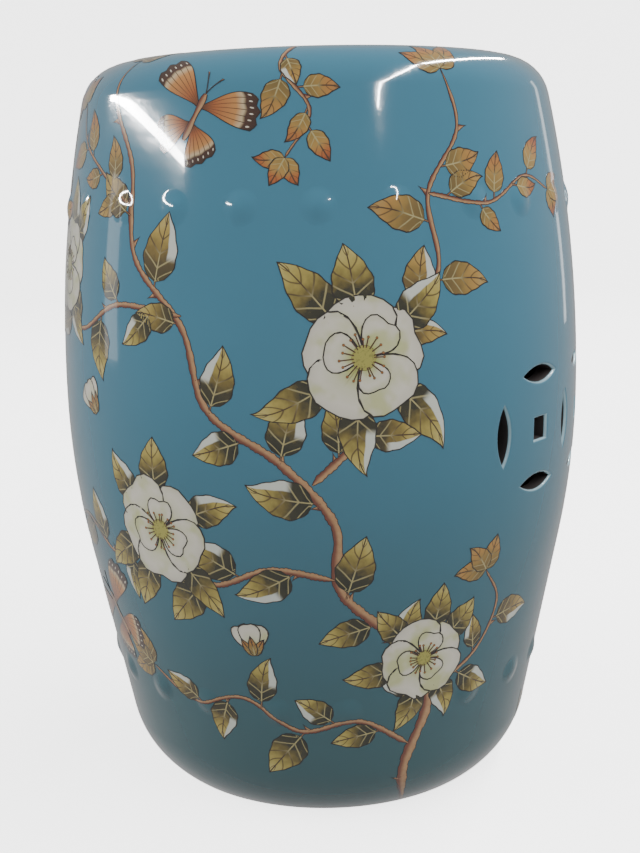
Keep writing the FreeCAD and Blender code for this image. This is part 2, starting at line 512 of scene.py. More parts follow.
def square_outline(slab, middle):
    side = COIN_SQUARE + 2 * LIP
    before = set(slab.edges)
    bmesh.ops.create_circle(
        slab, segments=4, radius=side / math.sqrt(2),
        matrix=Matrix.Translation(middle) @ Matrix.Rotation(math.radians(45), 4, "Z"))
    bmesh.ops.subdivide_edges(slab, edges=list(set(slab.edges) - before), cuts=SQUARE_CUTS)
    return [edge for edge in slab.edges if edge not in before]


outlines = []
for step in (-2, 0, 2):
    middle = Vector((step * COIN_PITCH, coin_distance, 0.0))
    outlines.append(petal_outline(slab, middle, lying=False))
for step in (-1, 1):
    middle = Vector((step * COIN_PITCH, coin_distance, 0.0))
    outlines.append(square_outline(slab, middle))
    for offset in (-PETAL_OFFSET, PETAL_OFFSET):
        outlines.append(petal_outline(slab, middle + Vector((0, offset, 0)), lying=True))
print("holes", len(outlines), "with", sum(len(edges) for edges in outlines), "edges")

# %% [markdown]
# Blender's triangle fill closes the clay between the window's rim and the holes in one
# go. Its long triangles are then split, because a flat triangle can't bend round the
# barrel.

# %% Fill round the holes
LONGEST_EDGE = 7 * MM
SPLIT_TURNS = 4


def refine(slab, faces, kept):
    """Splits long edges of the filling, so that it bends well, but none of its rims."""
    for turn in range(SPLIT_TURNS):
        edges = {edge for face in faces if face.is_valid for edge in face.edges}
        long = [edge for edge in edges - kept if edge.calc_length() > LONGEST_EDGE]
        if not long:
            break
        around = {face for edge in long for face in edge.link_faces}
        cut = bmesh.ops.subdivide_edges(slab, edges=long, cuts=1)
        fresh = set(pick(bmesh.types.BMFace, cut["geom"]))
        around = {face for face in around | fresh if face.is_valid}
        split = bmesh.ops.triangulate(slab, faces=list(around))
        faces = {face for face in faces | set(split["faces"]) if face.is_valid}


def fill_window(slab, rims, up):
    filled = bmesh.ops.triangle_fill(slab, edges=rims, use_beauty=True, normal=(0, 0, up))
    refine(slab, set(pick(bmesh.types.BMFace, filled["geom"])), set(rims))


hole_edges = [edge for edges in outlines for edge in edges]
fill_window(slab, front_window + hole_edges, 1)
print("front filled, now", len(slab.faces), "faces")

# %% [markdown]
# Each hole gets a plug, and insetting the plug a little deeper at each turn rolls the
# lip over in a quarter circle. Last the plug is pushed through the slab as a tunnel and
# deleted, and the back is filled in the same way as the front.

# %% Sink the lips and push the holes through
THIN_AND_SHEEN_IN_TUNNELS = 0.6

plugs = []
for edges in outlines:
    plugs += bmesh.ops.edgeloop_fill(slab, edges=edges)["faces"]
for plug in plugs:
    plug.normal_update()
    if plug.normal.z < 0:
        plug.normal_flip()
for turn in range(LIP_STEPS):
    start = math.pi / 2 * turn / LIP_STEPS
    end = math.pi / 2 * (turn + 1) / LIP_STEPS
    inward = LIP * (math.sin(end) - math.sin(start))
    down = LIP * (math.cos(end) - math.cos(start))
    bmesh.ops.inset_individual(slab, faces=plugs, thickness=inward, depth=down,
                               use_even_offset=True)
    for plug in plugs:
        for vert in plug.verts:
            vert[thin_glaze_and_sheen] = math.sin(end)
for depth in (SLAB / 2, SLAB):
    plugs = bmesh.ops.extrude_discrete_faces(slab, faces=plugs)["faces"]
    for plug in plugs:
        for vert in plug.verts:
            vert.co.z = -depth
            vert[thin_glaze_and_sheen] = THIN_AND_SHEEN_IN_TUNNELS
back_rims = [edge for plug in plugs for edge in plug.edges]
bmesh.ops.delete(slab, geom=plugs, context="FACES_ONLY")
fill_window(slab, back_window + back_rims, -1)
print("half slab", len(slab.faces), "faces")

# %% [markdown]
# The wall isn't equally thick. Its inner face is a run of straight tapers, where the
# outside is curved, because nobody sees it. It ends below the ledge, lower than the
# glaze does, so its last rows are squeezed together.

# %% The wall's inner face
WALL_TAPERS = [(110.0, 15.0), (129.0, 60.0), (142.5, 130.0), (153.5, 195.0),
               (153.5, 290.0), (147.5, 360.0), (134.0, 432.0)]
SQUEEZED_FROM = 380.0 * MM
inner_face = [Vector((WALL_TAPERS[0][0] * MM, FOOT_RING_HEIGHT))]
inner_face += [Vector((radius * MM, z * MM)) for radius, z in WALL_TAPERS]


def inner_radius(z):
    for lower, upper in zip(inner_face, inner_face[1:]):
        if z <= upper.y:
            part = (z - lower.y) / (upper.y - lower.y)
            return lower.x + (upper.x - lower.x) * part
    return inner_face[-1].x


def inner_point(distance):
    """(radius, height) of the wall's inner face behind a point of the outline."""
    z = outline(distance)[0].y
    squeezed = distance_at(SQUEEZED_FROM)
    if distance > squeezed:
        part = (distance - squeezed) / (shoulder_end - squeezed)
        z = SQUEEZED_FROM + (inner_face[-1].y - SQUEEZED_FROM) * part
    return Vector((inner_radius(z), z))


print("the wall is %.1f mm thick at the belly"
      % ((BELLY_RADIUS - inner_radius(BELLY_HEIGHT)) / MM))

# %% [markdown]
# The slab is rolled up by moving its vertices: the distance across becomes an angle, the
# distance along follows the outline, and the depth in the clay goes from the glaze to
# the wall's inner face. The second half is a copy, turned half round and welded on.

# %% Roll the slab up into a barrel
WELD = 0.005 * MM

outward = slab.verts.layers.float_vector.new("outward")
depth_layer = slab.verts.layers.float.new("depth")
for vert in slab.verts:
    angle = vert.co.x / BELLY_RADIUS
    distance = min(max(vert.co.y, foot_edge), shoulder_end)
    depth = min(max(-vert.co.z / SLAB, 0.0), 1.0)
    point, tilt = outline(distance)
    vert[outward] = Vector((math.cos(tilt) * math.cos(angle),
                            math.cos(tilt) * math.sin(angle), math.sin(tilt)))
    vert[depth_layer] = depth
    radius, z = point.lerp(inner_point(distance), depth)
    vert.co = Vector((radius * math.cos(angle), radius * math.sin(angle), z))
half = list(slab.verts) + list(slab.edges) + list(slab.faces)
other_half = bmesh.ops.duplicate(slab, geom=half)["geom"]
for vert in pick(bmesh.types.BMVert, other_half):
    vert.co = Vector((-vert.co.x, -vert.co.y, vert.co.z))
    normal = vert[outward].copy()
    vert[outward] = Vector((-normal.x, -normal.y, normal.z))
bmesh.ops.remove_doubles(slab, verts=slab.verts, dist=WELD)
print("rolled wall", len(slab.faces), "faces")

# %% [markdown]
# The rolled wall is still open at four rims. At the top its edge is pulled down beside
# the seat disc, in under it as a ledge, down again and out to the inner face. At the
# foot one pull joins the glaze to the inner face. Pulling a rim is an extrusion of its
# edges, and welding the last one to the rim it meets makes the wall watertight.

# %% Close the foot and make the ledge for the seat
SEAT_THICKNESS = 9.0 * MM
LEDGE_WIDTH = 11.0 * MM
LEDGE_THICKNESS = 7.0 * MM


def open_loops(slab):
    """The wall's open rims, as lists of edges, from the lowest rim up."""
    left = {edge for edge in slab.edges if edge.is_boundary}
    loops = []
    while left:
        loop = []
        front = [left.pop()]
        while front:
            edge = front.pop()
            loop.append(edge)
            joined = {other for vert in edge.verts for other in vert.link_edges}
            front += joined & left
            left -= joined
        loops.append(loop)
    return sorted(loops, key=lambda loop: loop[0].verts[0].co.z)


def pull_rim(slab, rim, scale=1.0, drop=0.0):
    made = bmesh.ops.extrude_edge_only(slab, edges=rim)["geom"]
    for vert in pick(bmesh.types.BMVert, made):
        vert.co = Vector((vert.co.x * scale, vert.co.y * scale, vert.co.z - drop))
        vert[depth_layer] = 1.0
    return pick(bmesh.types.BMEdge, made)


rims = open_loops(slab)
print("open rims", [(len(rim), round(rim[0].verts[0].co.z / MM, 1)) for rim in rims])
top_rim = pull_rim(slab, rims[-1], drop=SEAT_THICKNESS)
ledge_scale = (shoulder_centre.x - LEDGE_WIDTH) / shoulder_centre.x
top_rim = pull_rim(slab, top_rim, scale=ledge_scale)
top_rim = pull_rim(slab, top_rim, drop=LEDGE_THICKNESS)
pull_rim(slab, top_rim, scale=inner_face[-1].x / (shoulder_centre.x - LEDGE_WIDTH))
glazed_foot = max(rims[:2], key=lambda rim: rim[0].verts[0].co.xy.length)
pull_rim(slab, glazed_foot, scale=inner_face[0].x / outline(foot_edge)[0].x)
bmesh.ops.remove_doubles(slab, verts=slab.verts, dist=WELD)
bmesh.ops.delete(slab, geom=[edge for edge in slab.edges if edge.is_wire], context="EDGES")
bmesh.ops.recalc_face_normals(slab, faces=slab.faces)
print("open edges left", sum(edge.is_boundary for edge in slab.edges))

# %% [markdown]
# A mirror-like glaze shows every facet of a mesh in its reflections. The outline knows
# the exact direction of the surface at each point, so the glazed face is given those
# directions as its normals, in place of the ones averaged from the facets. The holes'
# tunnels and the inside aren't glazed: they are painted nearly black, as painted shade.

# %% Give the wall its finishes and its exact shading
CREASE = math.radians(40)

# Two shares of the slab's thickness
GLAZED_TO = 0.001
LIP_END = 0.9 * LIP / SLAB


def shade_wall(piece):
    """The glazed face takes its shading from the outline, so that gloss runs true."""
    mesh = piece.data
    mesh.set_sharp_from_angle(angle=CREASE)
    depth = mesh.attributes["depth"].data
    outward = mesh.attributes["outward"].data
    normals = [corner.vector.copy() for corner in mesh.corner_normals]
    for polygon in mesh.polygons:
        if all(depth[index].value < GLAZED_TO for index in polygon.vertices):
            for corner in polygon.loop_indices:
                normals[corner] = Vector(outward[mesh.loops[corner].vertex_index].vector)
        # the deep faces, inside and in the tunnels, take the painted shade
        if all(depth[index].value > LIP_END for index in polygon.vertices):
            polygon.material_index = 1
    mesh.normals_split_custom_set(normals)
    shaded_inside_faces = sum(polygon.material_index for polygon in mesh.polygons)
    print("painted shade on", shaded_inside_faces, "faces")


barrel = make_piece("glazed_barrel", slab, [glaze, inside_shade_paint], ["barrel_wall"])
shade_wall(barrel)

# %% [markdown]
# The studs are small buttons of clay pressed on by hand, and the glaze fills the angle
# round each one. So a stud is a dome whose foot eases into the wall. Its profile is a
# few points spun into a cap, and the cap is laid on the barrel with the same mapping as
# everything else. Each row is one piece and stands for two nodes, its front half and
# its back half. A row is written as its count, its height, the first stud's angle in
# degrees, and how far the studs that were set by eye are off the even spacing.

# %% Where the studs sit
STUD_RISE = 1.6 * MM
STUD_FOOT = 10.5 * MM
UPPER_STUDS = (24, 364.9 * MM, -105.85, [1.1, -0.4, -0.9, -0.9, -0.6, 1.7, 0.1])
LOWER_STUDS = (22, 76.6 * MM, -91.13, [-1.1, 0.5, 0.8, -0.7, -0.2, 0.7])


def stud_places(count, z, first, drift):
    """(angle, distance along the outline) of each stud of a row."""
    places = []
    for index in range(count):
        degrees = first + 360.0 / count * index
        if index < len(drift):
            degrees += drift[index]
        places.append((math.radians(degrees), distance_at(z)))
    return places


def stud_swell(away):
    """How high the glaze stands, a distance away from a stud's middle."""
    part = min(away / STUD_FOOT, 1.0)
    return STUD_RISE * (1 - part ** 2) ** 2


upper_places = stud_places(*UPPER_STUDS)
lower_places = stud_places(*LOWER_STUDS)


def swell_at(angle, distance):
    """The height of whichever stud lies under a point of the barrel, or nothing."""
    most = 0.0
    for row in (upper_places, lower_places):
        up = distance - row[0][1]
        if abs(up) < STUD_FOOT:
            radius = outline(distance)[0].x
            for stud_angle, stud_distance in row:
                turn = (angle - stud_angle + math.pi) % (2 * math.pi) - math.pi
                most = max(most, stud_swell(math.hypot(turn * radius, up)))
    return most


print("studs", len(upper_places), "and", len(lower_places))

# %% [markdown]
# One chain of points from a stud's middle to its foot is spun into a cap, first flat on
# the bench. Then each point is laid on the barrel, as high as the swell says. At the
# foot the cap dips just below the glaze, so that no gap shows round it.

# %% Press on the studs
STUD_RINGS = 9
STUD_SIDES = 28
CAP_LIFT = 0.02 * MM
FOOT_DIP = 0.05 * MM
STUD_WELD = 0.01 * MM


def make_studs(name, places, replaced):
    row = bmesh.new()
    profile = [(STUD_FOOT * ring / STUD_RINGS, 0.0) for ring in range(STUD_RINGS + 1)]
    for angle, distance in places:
        before = set(row.verts)
        spin_profile(row, profile, STUD_SIDES)
        cap = [vert for vert in row.verts if vert not in before]
        for vert in cap:
            radius = outline(distance + vert.co.y)[0].x
            dip = FOOT_DIP * (vert.co.length / STUD_FOOT) ** 4
            lift = max(stud_swell(vert.co.length), CAP_LIFT) - dip
            vert.co = on_barrel(angle + vert.co.x / radius, distance + vert.co.y, lift)
    bmesh.ops.remove_doubles(row, verts=row.verts, dist=STUD_WELD)
    for face in row.faces:
        face.normal_update()
        middle = face.calc_center_median()
        if face.normal.dot(Vector((middle.x, middle.y, 0))) < 0:
            face.normal_flip()
    make_piece(name, row, [glaze], replaced)


make_studs("studs_under_the_shoulder", upper_places, ["upper_studs_front", "upper_studs_back"])
make_studs("studs_above_the_heel", lower_places, ["lower_studs_front", "lower_studs_back"])

# %% [markdown]
# The stool stands on a narrow ring of clay. The glaze covers its outside down to the
# ground, but its underside is wiped bare, or it would stick to the kiln's shelf. Its
# section is drawn once and spun round; the corner that meets the ground is bevelled.

# %% Turn the foot ring
FOOT_INNER_RADIUS = 97.0 * MM
FOOT_CHAMFER = 1.5 * MM
FOOT_ROUNDING = 0.8 * MM
FOOT_STEPS = 6
RING_SIDES = 192
GLAZE_REACH = 0.6 * MM
TOUCHING = 0.01 * MM


def make_foot_ring():
    ring = bmesh.new()
    section = [Vector((FOOT_INNER_RADIUS, FOOT_RING_HEIGHT)),
               Vector((FOOT_INNER_RADIUS, FOOT_CHAMFER)),
               Vector((FOOT_INNER_RADIUS + FOOT_CHAMFER, 0.0))]
    section += [outline(foot_edge * part / FOOT_STEPS)[0] for part in range(FOOT_STEPS + 1)]
    spin_profile(ring, section, RING_SIDES, closed=True)
    bmesh.ops.remove_doubles(ring, verts=ring.verts, dist=WELD)
    corner = [edge for edge in ring.edges
              if all(vert.co.z < TOUCHING for vert in edge.verts)
              and all(vert.co.xy.length > FOOT_RADIUS - TOUCHING for vert in edge.verts)]
    bmesh.ops.bevel(ring, geom=corner, offset=FOOT_ROUNDING, segments=3, affect="EDGES",
                    profile=0.5, material=-1)
    bmesh.ops.recalc_face_normals(ring, faces=ring.faces)
    for face in ring.faces:
        middle = face.calc_center_median()
        outside = middle.xy.length > FOOT_RADIUS - GLAZE_REACH and face.normal.z < 0.5
        face.material_index = 0 if outside else 1
    piece = make_piece("foot_ring_glazed_outside", ring, [glaze, bare_clay],
                       ["foot_ring"])
    piece.data.set_sharp_from_angle(angle=CREASE)


make_foot_ring()
for node, paint in (("seat_disc", glaze), ("base_floor", bare_clay)):
    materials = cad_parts[node].data.materials
    materials.clear()
    materials.append(paint)
print("seat and floor take their finishes")

# %% [markdown]
# The picture on such a stool is a transfer: ceramic colour printed on a gelatine sheet,
# which is cut out, floated on and fired under a last coat of glaze. Painting it in one
# big image would need an image file, so every leaf, petal and twig here is a small
# patch of its own, a grid cut to shape and laid on the barrel a tenth of a millimetre
# up. Each patch carries numbers that its paint reads: how far along and across a point
# lies, how near the edge and the rib it is in millimetres, how old a leaf is, and which
# of its sides is folded over. Patches that overlap lie on different layers.

# %% Laying a patch of the picture
PATCH_LIFT = 0.10 * MM
LAYER_LIFT = 0.02 * MM
PATCH_SKIRT = 0.12 * MM
PATCH_WELD = 0.02 * MM
STRIP_CELLS = (3, 2)
NUMBERS = ("along", "across", "edge", "rib", "age", "fold")
LOWEST_PAINT = 1.5 * MM
PAINT_ON_SEAT = 90 * MM
LEAST_RADIUS = 20 * MM


def new_sheet():
    sheet = bmesh.new()
    for name in NUMBERS:
        sheet.verts.layers.float.new(name)
    return sheet


def outward_at(point):
    """The direction straight out of the barrel, at a point on it."""
    flat = Vector((point.x, point.y, 0.0))
    if point.z < shoulder_centre.y:
        return flat.normalized()
    if flat.length < shoulder_centre.x:
        return Vector((0, 0, 1))
    corner = flat.normalized() * shoulder_centre.x
    corner.z = shoulder_centre.y
    return (point - corner).normalized()


def lay_patch(sheet, cells, shape, layer, age=0.0, fold=0.0):
    """Cuts one patch: shape(t, c) gives a point, the half width and the way to the end."""
    patch = new_sheet()
    layers = {name: patch.verts.layers.float[name] for name in NUMBERS}
    bmesh.ops.create_grid(patch, x_segments=cells[0], y_segments=cells[1], size=0.5)
    lift = PATCH_LIFT + LAYER_LIFT * layer
    for vert in patch.verts:
        t = min(max(vert.co.x + 0.5, 0.0), 1.0)
        c = min(max(vert.co.y * 2, -1.0), 1.0)
        angle, distance, half, to_end = shape(t, c)
        edge = min((1 - abs(c)) * half, to_end) / MM
        values = (t, c, edge, abs(c) * half / MM, age, fold)
        for name, value in zip(NUMBERS, values):
            vert[layers[name]] = value
        vert.co = on_barrel(angle, distance, lift + swell_at(angle, distance))
    bmesh.ops.remove_doubles(patch, verts=patch.verts, dist=PATCH_WELD)
    border = [edge for edge in patch.edges if edge.is_boundary]
    made = bmesh.ops.extrude_edge_only(patch, edges=border)["geom"]
    for edge in border:
        edge.smooth = False
    for vert in pick(bmesh.types.BMVert, made):
        vert.co -= outward_at(vert.co) * (lift + PATCH_SKIRT)
    patch.to_mesh(carrier)
    patch.free()
    sheet.from_mesh(carrier)


def from_root(root, turn, x, y):
    """(angle, distance) of a point x along and y aside of a direction from a root."""
    across = x * math.cos(turn) - y * math.sin(turn)
    up = x * math.sin(turn) + y * math.cos(turn)
    distance = min(max(root[1] + up, LOWEST_PAINT), shoulder_end + PAINT_ON_SEAT)
    radius = max(outline(distance)[0].x, LEAST_RADIUS)
    return root[0] + across / radius, distance


def lay_ribbon(sheet, root, turn, length, half_at, cells, layer=0, age=0.0):
    """A straight patch, where half_at(t) is half its width a part t of the way along."""
    def shape(t, c):
        half = half_at(t)
        angle, distance = from_root(root, turn, length * t, c * half)
        return angle, distance, half, half
    lay_patch(sheet, cells, shape, layer, age)


carrier = bpy.data.meshes.new("one_patch")
branch_sheet = new_sheet()
leaf_sheet = new_sheet()
petal_sheet = new_sheet()
stamen_sheet = new_sheet()
wing_sheet = new_sheet()
print("five empty sheets, each point with", ", ".join(NUMBERS))

# %% [markdown]
# A rose leaf on this ware is broad near its stalk and runs out to a thin bent tip. A
# product of two powers gives that outline, one for each end. Each leaf is a little
# different: it bends, its edge is ruffled, and some show a white flash where they fold.

# %% Leaves
chance = random.Random(7)
LEAF_CELLS = (16, 8)
LEAF_BEND = 0.15
RUFFLE = 0.04
RUFFLES = 24
FOLDS = (-1, 0, 0, 0, 1)
FOLDS_UNTIL = 0.5
ROUND_END = 0.60
THIN_END = 1.05
FULLEST = ROUND_END / (ROUND_END + THIN_END)
LEAF_NORM = FULLEST ** ROUND_END * (1 - FULLEST) ** THIN_END


def lay_leaf(sheet, root, turn, length, width, layer=0, age=0.0):
    bend = chance.uniform(-LEAF_BEND, LEAF_BEND) * length
    waves = chance.uniform(0, 6)
    fold = chance.choice(FOLDS) if age < FOLDS_UNTIL else 0

    def shape(t, c):
        bulge = t ** ROUND_END * (1 - t) ** THIN_END / LEAF_NORM
        ruffle = 1 + RUFFLE * math.sin(RUFFLES * t + waves + 2 * c)
        half = width / 2 * bulge * ruffle
        curl = bend * (t ** 2 + 0.8 * t ** 8)
        angle, distance = from_root(root, turn, length * t, c * half + curl)
        return angle, distance, half, half + length * (1 - t)
    lay_patch(sheet, LEAF_CELLS, shape, layer, age, fold)


print("a leaf is fullest %.0f %% of the way from its stalk" % (100 * FULLEST))

# %% [markdown]
# A twig follows a route given as (degrees from the middle of the side, millimetres up
# the outline). A Catmull-Rom curve through those points bends softly and passes through
# each of them. The branch is a ribbon along it, with knobbly edges, and thorns and
# stalked leaves start from points read along the same route.

# %% Routes
ROUTE_STEP = 4 * MM
LEAST_STEPS = 4


def smooth_route(points, centre):
    knots = [Vector((centre + math.radians(degrees), distance * MM))
             for degrees, distance in points]
    knots = [2 * knots[0] - knots[1]] + knots + [2 * knots[-1] - knots[-2]]
    route = []
    for a, b, c, d in zip(knots, knots[1:], knots[2:], knots[3:]):
        steps = max(int((c - b).length / ROUTE_STEP), LEAST_STEPS)
        for step in range(steps):
            t = step / steps
            route.append(0.5 * (2 * b + (c - a) * t + (2 * a - 5 * b + 4 * c - d) * t ** 2
                                + (3 * b - a - 3 * c + d) * t ** 3))
    return route + [knots[-2]]


def along_route(route, part):
    """(angle, distance) and the direction of growth, a part of the way along a route."""
    place = min(max(part, 0.0), 1.0) * (len(route) - 1)
    index = min(int(place), len(route) - 2)
    here = route[index].lerp(route[index + 1], place - index)
    step = route[index + 1] - route[index]
    radius = outline(here.y)[0].x
    return here, math.atan2(step.y, step.x * radius)


print("points on a straight run of 40 mm:", len(smooth_route([(0, 200), (0, 240)], 0.0)))

# %% [markdown]
# Everything that grows is put together from patches here. A branch is one long ribbon,
# a thorn is a short one that ends in a point, and a leaf stands on a stalk. The helper
# called grow makes a whole twig: the further out a leaf sits, the younger it is.

# %% Branches, thorns and stalked leaves
KNOB = 0.10
SMALL_KNOB = 0.09
THORN_CELLS = (5, 2)
THORN_LEAN = 1.1
THORN_HALF_WIDTH = 0.34
STALK_HALF_WIDTH = 0.6 * MM
STALK_LENGTH = 6 * MM
LEAF_STARTS = 4 * MM


def lay_branch(route, thick, slim):
    knobs = chance.uniform(0, 6)
    widths = [1 + KNOB * math.sin(0.55 * index + knobs) + SMALL_KNOB * math.sin(1.7 * index)
              for index in range(len(route) + 1)]

    def shape(t, c):
        here, turn = along_route(route, t)
        half = (thick + (slim - thick) * t) / 2 * widths[int(t * (len(route) - 1))]
        half *= min(1.0, 0.25 + 20 * t, 0.3 + 20 * (1 - t))
        angle, distance = from_root((here.x, here.y), turn, 0.0, c * half)
        return angle, distance, half, half
    lay_patch(branch_sheet, (2 * len(route), 4), shape, 0)


def lay_thorn(route, part, side, size):
    here, turn = along_route(route, part)
    lay_ribbon(branch_sheet, here, turn + side * THORN_LEAN, size,
               lambda t: THORN_HALF_WIDTH * size * (1 - t) ** 1.5, THORN_CELLS)


def lay_stalked_leaf(route, part, side, length, age):
    here, turn = along_route(route, part)
    turn += side * chance.uniform(0.7, 1.1)
    lay_ribbon(branch_sheet, here, turn, STALK_LENGTH, lambda t: STALK_HALF_WIDTH,
               STRIP_CELLS)
    foot = from_root(here, turn, LEAF_STARTS, 0.0)
    lay_leaf(leaf_sheet, foot, turn, length, length * chance.uniform(0.56, 0.68), 1, age)


def lay_spray(root, turn, length, age):
    """Three leaves at the end of a twig, each on its own layer, as they overlap."""
    for spread, layer in ((-0.85, 1.4), (0.85, 1.8), (0.0, 2.2)):
        lay_leaf(leaf_sheet, root, turn + spread, length * chance.uniform(0.9, 1.1),
                 length * 0.6, layer, age)


def grow(centre, points, thick, slim, thorns, leaves, length, age):
    """A whole twig: its branch and thorns, leaves on both sides, three at the tip."""
    route = smooth_route(points, centre)
    length *= MM
    lay_branch(route, thick * MM, slim * MM)
    for index in range(thorns):
        part = (index + chance.uniform(0.3, 0.7)) / thorns
        lay_thorn(route, part, (-1) ** index, (thick / 2 + 4.6) * MM)
    for index in range(leaves):
        part = 0.12 + 0.80 * (index + chance.uniform(-0.2, 0.2)) / leaves
        older = min(1.0, max(0.0, age + 0.9 * (part - 0.65)))
        lay_stalked_leaf(route, part, (-1) ** index, length * chance.uniform(0.8, 1.15),
                         older)
    tip, turn = along_route(route, 1.0)
    lay_spray(tip, turn, 0.85 * length, min(1.0, age + 0.35))


print("a thorn is %.0f %% as wide as it is long" % (200 * THORN_HALF_WIDTH))

# %% [markdown]
# A petal is a fan: its rim is a line of points at some reach from the claw, nearly even
# in the middle, notched, and drawn in to nothing at both sides. Five wide fans overlap
# into the outer ring, and three small ones stand inside it. The stamens are short
# strokes in a ring about a green disc, each with a dot at its end.

# %% Petals and stamens
PETAL_CELLS = (9, 16)
ROUND_CELLS = (8, 4)
STAMEN_HALF_WIDTH = 0.34 * MM
STAMEN_DOT = 0.8 * MM
STAMEN_AGE = 1.0
STAMEN_LAYER = 13
DOT_AGE = 0.5
DOT_LAYER = 15


def lay_petal(root, turn, length, spread, layer):
    waves = chance.uniform(0, 6)
    notch = chance.uniform(0.03, 0.09)

    def rim(c):
        drawn_in = max(0.0, 1 - abs(c) ** 3) ** 0.45
        return length * drawn_in * (1 - notch * math.exp(-(5 * c) ** 2)
                                    + 0.02 * math.cos(8 * c + waves))

    def shape(t, c):
        c = math.sin(c * math.pi / 2)
        reach = rim(c)
        slope = (rim(c + 0.01) - rim(c - 0.01)) / (0.02 * spread * max(reach, MM))
        aside = spread * c * (0.7 + 0.3 * t)
        angle, distance = from_root(root, turn, reach * t * math.cos(aside),
                                    reach * t * math.sin(aside))
        return angle, distance, 1.0, reach * (1 - t) / math.hypot(1, slope)
    lay_patch(petal_sheet, PETAL_CELLS, shape, layer)


def lay_round(centre, radius, layer, age=0.0):
    def shape(t, c):
        half = radius * math.sin(math.acos(1 - 2 * t))
        angle, distance = from_root(centre, 0.0, radius * (2 * t - 1), c * half)
        return angle, distance, half, half
    lay_patch(stamen_sheet, ROUND_CELLS, shape, layer, age)


def lay_stamen(centre, about, start, end):
    inner = from_root(centre, about, start, 0.0)
    lay_ribbon(stamen_sheet, inner, about, end - start, lambda t: STAMEN_HALF_WIDTH,
               STRIP_CELLS, STAMEN_LAYER, STAMEN_AGE)
    lay_round(from_root(centre, about, end, 0.0), STAMEN_DOT, DOT_LAYER, DOT_AGE)


print("a petal is cut from", PETAL_CELLS[0], "by", PETAL_CELLS[1], "cells")

# %% [markdown]
# A blossom is stacked from its outer petals to its stamens, each on a layer of its own,
# because two patches at the same height would show through each other in spots. A bud
# is three narrow petals in a cup of three small leaves.

# %% Blossoms and buds
PETALS = 5
INNER_PETALS = 3
STAMENS = 19
PETAL_LAYER = 3
INNER_LAYER = PETAL_LAYER + PETALS
DISC_LAYER = 12


def lay_blossom(centre, radius, turn):
    for index in range(PETALS):
        about = turn + 2 * math.pi * index / PETALS + chance.uniform(-0.10, 0.10)
        claw = from_root(centre, about, -0.05 * radius, 0.0)
        lay_petal(claw, about, radius * chance.uniform(0.98, 1.10),
                  chance.uniform(0.92, 1.08), PETAL_LAYER + index)
    for index in range(INNER_PETALS):
        about = turn + 0.6 + 2 * math.pi * index / INNER_PETALS + chance.uniform(-0.15, 0.15)
        lay_petal(centre, about, radius * chance.uniform(0.56, 0.68),
                  chance.uniform(0.80, 1.00), INNER_LAYER + index)
    lay_round(centre, 0.19 * radius, DISC_LAYER)
    for index in range(STAMENS):
        about = turn + 2 * math.pi * index / STAMENS + chance.uniform(-0.1, 0.1)
        lay_stamen(centre, about, 0.15 * radius, radius * chance.uniform(0.27, 0.38))


def lay_bud(root, turn, length):
    for side, layer in ((-0.30, 3), (0.30, 4), (0.0, 5)):
        lay_petal(root, turn + side, length, 0.55, layer)
    for side, layer in ((-0.55, 6.0), (0.0, 7.0), (0.55, 6.5)):
        lay_leaf(leaf_sheet, root, turn + side, 0.62 * length, 0.26 * length, layer, 0.7)


print("a blossom has", PETALS + INNER_PETALS, "petals and", STAMENS, "stamens")

# %% [markdown]
# Butterflies fill the gaps between the branches. A wing is a strip that widens from its
# root and has a scalloped end, the fore wings overlap the hind wings, and the body and
# the two feelers are narrow ribbons on top. Lengths are shares of the size. A wing is
# written as the place of its root along the body, its turn, its length and its layer.

# %% Butterflies
HIND_WING = (-0.10, 2.25, 0.36, 3)
FORE_WING = (0.08, 1.12, 0.56, 4)
WING_WIDTH = 0.34
WING_CELLS = (14, 12)
BODY_LAYER = 6
BODY_CELLS = (12, 4)
FEELER_CELLS = (8, 2)
FEELER_HALF_WIDTH = 0.25 * MM


def lay_wing(root, turn, length, width, side, layer):
    def shape(t, c):
        half = width / 2 * (0.12 + 0.88 * math.sin(math.pi / 2 * min(1.0, 1.15 * t)) ** 1.3)
        reach = length * (0.90 * t + 0.10 * t * (1 - c * c) + 0.03 * math.cos(9 * c) * t ** 3)
        sweep = side * 0.10 * length * t ** 2
        angle, distance = from_root(root, turn, reach, c * half + sweep)
        return angle, distance, half, length * (1 - t)
    lay_patch(wing_sheet, WING_CELLS, shape, layer)


def lay_feeler(centre, size, turn, side):
    def shape(t, c):
        half = FEELER_HALF_WIDTH * (1 + 1.6 * t ** 6)
        x = size * (0.19 + 0.20 * t)
        y = side * 0.09 * size * t ** 1.5 + c * half
        angle, distance = from_root(centre, turn, x, y)
        return angle, distance, half, half
    lay_patch(branch_sheet, FEELER_CELLS, shape, BODY_LAYER)


def lay_butterfly(centre, size, turn):
    for side in (-1, 1):
        for place, opened, length, layer in (HIND_WING, FORE_WING):
            root = from_root(centre, turn, place * size, side * 0.02 * size)
            lay_wing(root, turn + side * opened, length * size, WING_WIDTH * size, side,
                     layer)
        lay_feeler(centre, size, turn, side)

    def body(t, c):
        half = 0.028 * size * (0.6 + 0.6 * math.sin(math.pi * t) ** 0.5
                               + 0.3 * math.sin(9 * t))
        angle, distance = from_root(centre, turn, size * (0.46 * t - 0.26), c * half)
        return angle, distance, half, half
    lay_patch(branch_sheet, BODY_CELLS, body, BODY_LAYER)


print("a fore wing is", round(FORE_WING[2] / HIND_WING[2], 1), "times as long as a hind wing")

# %% [markdown]
# Two equal picture sheets go round the barrel, one for each side between the pierced
# motifs, as a workshop would print and cut them. The design is made up for this lesson:
# thorny branches with wild roses, young leaves at the tips and a few butterflies, in
# the colours and the scale of such ware. A route's points are listed.

